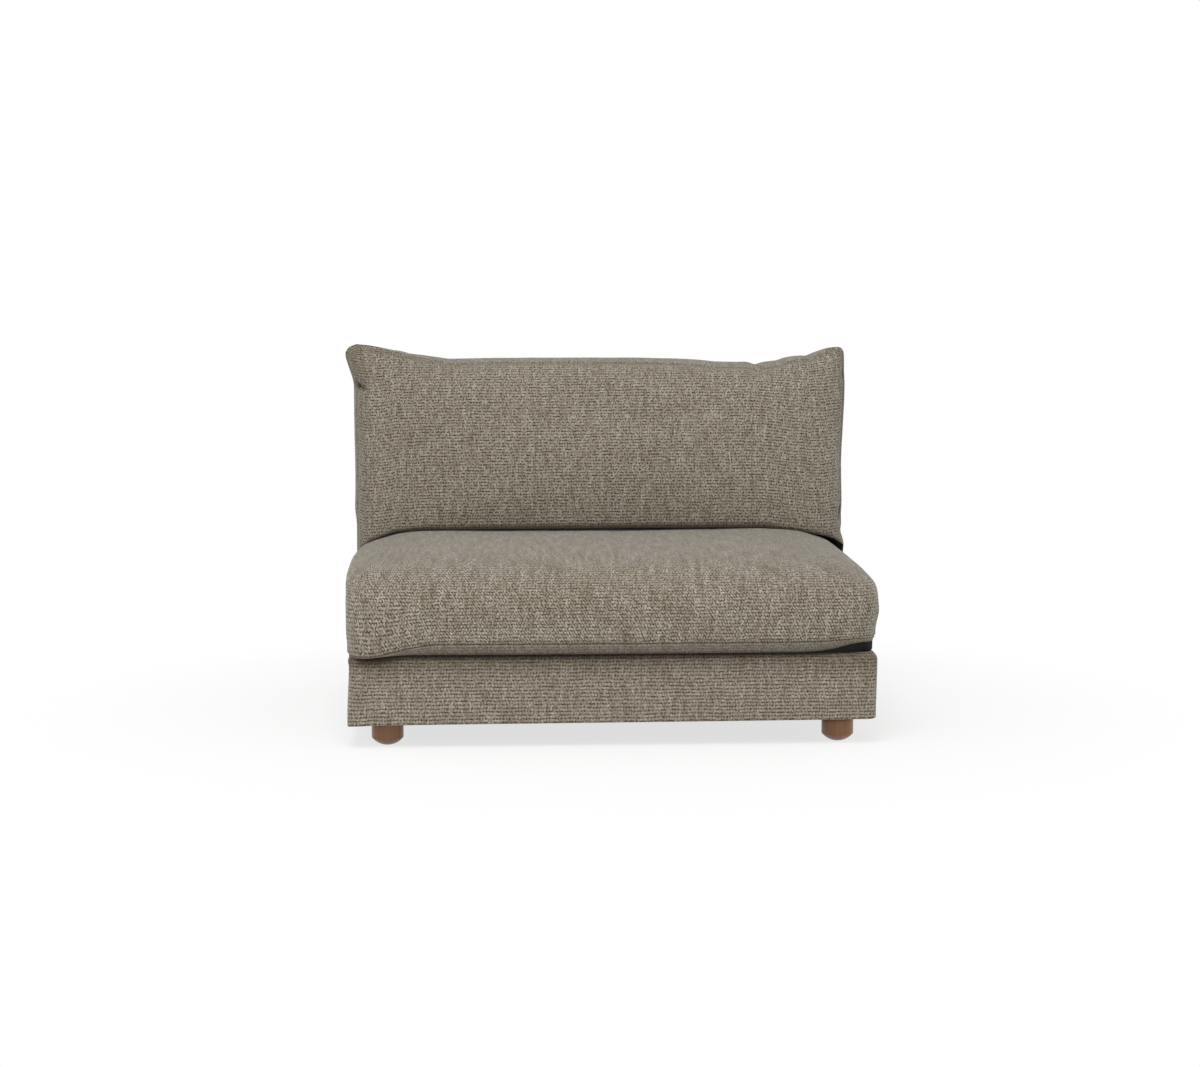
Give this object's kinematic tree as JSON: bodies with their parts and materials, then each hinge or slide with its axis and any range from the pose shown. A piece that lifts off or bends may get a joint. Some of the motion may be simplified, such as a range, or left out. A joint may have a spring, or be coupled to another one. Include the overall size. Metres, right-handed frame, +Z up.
{
  "type": "sofa module",
  "caption": "Armless low sofa module: padded box base on short turned feet, upright back unit, one loose crowned seat cushion and one loose horned back cushion.",
  "frame": {"origin": "on the floor under the middle of the part, where the feet stand", "axes": "+X across the seat, to the sitter's left (right in a front view), +Y from the front edge to the back unit, +Z up"},
  "size_m": [1.184, 0.945, 0.8476],
  "materials": {
    "face_fabric": "matt, coarse ribbed weave, heathered greige yarn",
    "lining_black": "matt, plain black lining cloth",
    "foam": "matt, open-cell foam",
    "wadding": "matt, soft fibre and feather filling",
    "timber": "planed, unfinished softwood",
    "plywood": "sanded plywood",
    "hardboard": "smooth hardboard",
    "foot_wood": "satin brown stained hardwood",
    "webbing": "elastic webbing",
    "steel": "zinc-plated steel",
    "zip_plastic": "nylon coil zip on woven tape",
    "zip_metal": "dark plated slider"
  },
  "bodies": {
    "sofa_frame": {"front_rail": "timber", "rear_rail": "timber", "left_side_rail": "timber", "right_side_rail": "timber", "webbing_rail": "timber", "centre_stretcher": "timber", "corner_blocks": "timber", "back_mounting_board": "plywood", "seat_webbing_lengthwise": "webbing", "seat_webbing_crosswise": "webbing", "rail_padding": "wadding", "base_cover": "face_fabric", "deck_pad": "foam", "deck_cloth": "lining_black", "dust_cover": "lining_black", "front_feet": "foot_wood", "rear_feet": "foot_wood", "foot_screws": "steel", "back_lower_rail": "timber", "back_top_rail": "timber", "back_post_left": "timber", "back_post_middle": "timber", "back_post_right": "timber", "back_webbing_uprights": "webbing", "back_webbing_rows": "webbing", "back_foam_pad": "foam", "outside_back_board": "hardboard", "back_padding": "wadding", "back_cover": "face_fabric", "inside_back_lining": "lining_black", "back_bolts": "steel", "latch_plates": "steel", "latch_pivot_bolts": "steel", "peg_plates": "steel"},
    "latch_front": {"latch_hook_front": "steel"},
    "latch_rear": {"latch_hook_rear": "steel"},
    "seat_cushion": {"seat_cushion_cover": "face_fabric", "seat_cushion_fibre_wrap": "wadding", "seat_cushion_foam_core": "foam", "seat_cushion_zip": "zip_plastic"},
    "seat_zip_slide": {"seat_zip_slider": "zip_metal"},
    "back_cushion": {"back_cushion_cover": "face_fabric", "back_cushion_feather_insert": "wadding", "back_cushion_zip": "zip_plastic"},
    "back_zip_slide": {"back_zip_slider": "zip_metal"}
  },
  "joints": [
    {"name": "seat_cushion_lift", "type": "slide", "parent": "sofa_frame", "child": "seat_cushion", "axis": [0, 0, 1], "range_m": [0, 0.45]},
    {"name": "back_cushion_lift", "type": "slide", "parent": "seat_cushion", "child": "back_cushion", "axis": [0, 0, 1], "range_m": [0, 0.45]},
    {"name": "seat_zip_run", "type": "slide", "parent": "seat_cushion", "child": "seat_zip_slide", "axis": [-1, 0, 0], "range_m": [0, 0.84]},
    {"name": "back_zip_run", "type": "slide", "parent": "back_cushion", "child": "back_zip_slide", "axis": [-1, 0, 0], "range_m": [0, 0.74]},
    {"name": "latch_front_swing", "type": "hinge", "parent": "sofa_frame", "child": "latch_front", "pos_m": [0.552, -0.25, 0.0507], "axis": [0, 0, 1], "range_deg": [0, 90]},
    {"name": "latch_rear_swing", "type": "hinge", "parent": "sofa_frame", "child": "latch_rear", "pos_m": [0.552, 0.25, 0.0507], "axis": [0, 0, 1], "range_deg": [0, 90]}
  ]
}
